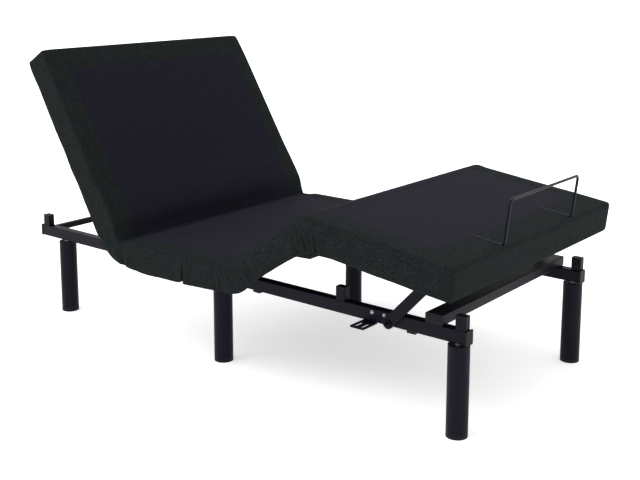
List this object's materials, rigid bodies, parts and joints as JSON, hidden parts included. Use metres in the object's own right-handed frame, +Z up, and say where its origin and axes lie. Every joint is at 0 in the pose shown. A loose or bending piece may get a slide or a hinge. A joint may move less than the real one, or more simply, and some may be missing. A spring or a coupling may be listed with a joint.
{
  "type": "adjustable bed base",
  "caption": "Adjustable bed base: upholstered deck in hinged back, seat, thigh and foot sections on a black steel frame with round legs, side lift arms and a wire mattress retainer.",
  "frame": {"origin": "on the floor, under the middle of the raised bed's length and width", "axes": "+X from the head end to the foot end, +Y across the bed, +Z up"},
  "size_m": [1.8264, 0.95, 0.953],
  "materials": {
    "powder_coated_steel": "satin black powder coat",
    "zinc_plated_steel": "bright zinc plate",
    "border_fabric": "charcoal woven border fabric over thin foam",
    "panel_fabric": "smooth dark non-slip panel fabric over thin foam",
    "felted_board": "board covered with black felt",
    "black_plastic": "moulded black plastic"
  },
  "bodies": {
    "base": {"rail_near": "powder_coated_steel", "rail_far": "powder_coated_steel", "tube_caps": "black_plastic", "head_tie_bar": "powder_coated_steel", "foot_crossbar": "powder_coated_steel", "seat_crossbars": "powder_coated_steel", "posts": "powder_coated_steel", "side_tabs": "powder_coated_steel", "rail_clips": "black_plastic", "rail_bolts": "zinc_plated_steel", "leg_head_near": "powder_coated_steel", "leg_head_far": "powder_coated_steel", "leg_mid_near": "powder_coated_steel", "leg_mid_far": "powder_coated_steel", "leg_foot_near": "powder_coated_steel", "leg_foot_far": "powder_coated_steel", "leg_glides": "black_plastic", "leg_studs": "zinc_plated_steel", "seat_board": "felted_board", "seat_pad": "panel_fabric", "seat_sides": "border_fabric", "back_hinge_leaves": "powder_coated_steel", "thigh_hinge_leaves": "powder_coated_steel", "deck_hinge_pins": "zinc_plated_steel", "arm_pivots": "powder_coated_steel", "control_box": "black_plastic", "power_inlet": "black_plastic", "actuator_mounts": "powder_coated_steel", "mount_pins": "zinc_plated_steel"},
    "back": {"back_board": "felted_board", "back_pad": "panel_fabric", "back_sides": "border_fabric", "back_frame": "powder_coated_steel", "back_torque_tube": "powder_coated_steel", "back_hinge_straps": "powder_coated_steel"},
    "thigh": {"thigh_board": "felted_board", "thigh_pad": "panel_fabric", "thigh_sides": "border_fabric", "thigh_frame": "powder_coated_steel", "thigh_torque_tube": "powder_coated_steel", "thigh_hinge_straps": "powder_coated_steel", "knee_hinge_leaves": "powder_coated_steel", "knee_hinge_pins": "zinc_plated_steel"},
    "foot": {"foot_board": "felted_board", "foot_pad": "panel_fabric", "foot_sides": "border_fabric", "foot_frame": "powder_coated_steel", "knee_hinge_straps": "powder_coated_steel", "arm_mounts": "powder_coated_steel", "retainer_bar": "powder_coated_steel", "retainer_screws": "zinc_plated_steel"},
    "arm_near": {"arm_near": "powder_coated_steel"},
    "arm_far": {"arm_far": "powder_coated_steel"},
    "head_act": {"head_actuator": "black_plastic", "head_motor": "black_plastic"},
    "head_rod": {"head_rod": "zinc_plated_steel"},
    "foot_act": {"foot_actuator": "black_plastic", "foot_motor": "black_plastic"},
    "foot_rod": {"foot_rod": "zinc_plated_steel"}
  },
  "joints": [
    {"name": "back_lift", "type": "hinge", "parent": "base", "child": "back", "pos_m": [-0.36, 0, 0.343], "axis": [0, 1, 0], "range_deg": [-58.5, 3.5]},
    {"name": "thigh_lift", "type": "hinge", "parent": "base", "child": "thigh", "pos_m": [0.153, 0, 0.343], "axis": [0, -1, 0], "range_deg": [-36, 4]},
    {"name": "knee_fold", "type": "hinge", "parent": "thigh", "child": "foot", "pos_m": [0.41917, 0, 0.53638], "axis": [0, -1, 0], "range_deg": [-4.8, 42.8]},
    {"name": "arm_near_pivot", "type": "hinge", "parent": "base", "child": "arm_near", "pos_m": [0.63351, -0.3645, 0.272], "axis": [0, -1, 0], "range_deg": [-42.9, 4.8]},
    {"name": "arm_far_pivot", "type": "hinge", "parent": "base", "child": "arm_far", "pos_m": [0.63351, 0.3645, 0.272], "axis": [0, -1, 0], "range_deg": [-42.9, 4.8]},
    {"name": "head_act_pivot", "type": "hinge", "parent": "base", "child": "head_act", "pos_m": [0.103, 0.04, 0.29], "axis": [0, -1, 0], "range_deg": [-0.15, 1.2]},
    {"name": "head_rod_slide", "type": "slide", "parent": "head_act", "child": "head_rod", "axis": [-0.999, 0, -0.0445], "range_m": [-0.083, 0.0052]},
    {"name": "foot_act_pivot", "type": "hinge", "parent": "base", "child": "foot_act", "pos_m": [-0.251, 0.166, 0.278], "axis": [0, -1, 0], "range_deg": [-1.05, 0.15]},
    {"name": "foot_rod_slide", "type": "slide", "parent": "foot_act", "child": "foot_rod", "axis": [0.9966, 0, -0.0827], "range_m": [-0.0648, 0.0074]}
  ],
  "couplings": [
    {"joint": "knee_fold", "follows": "thigh_lift", "ratio": -1.1861},
    {"joint": "arm_near_pivot", "follows": "thigh_lift", "ratio": 1.1878},
    {"joint": "arm_far_pivot", "follows": "thigh_lift", "ratio": 1.1878},
    {"joint": "head_act_pivot", "follows": "back_lift", "ratio": -0.019367},
    {"joint": "head_rod_slide", "follows": "back_lift", "m_per_rad": 0.081031},
    {"joint": "foot_act_pivot", "follows": "thigh_lift", "ratio": 0.027019},
    {"joint": "foot_rod_slide", "follows": "thigh_lift", "m_per_rad": 0.10285}
  ]
}
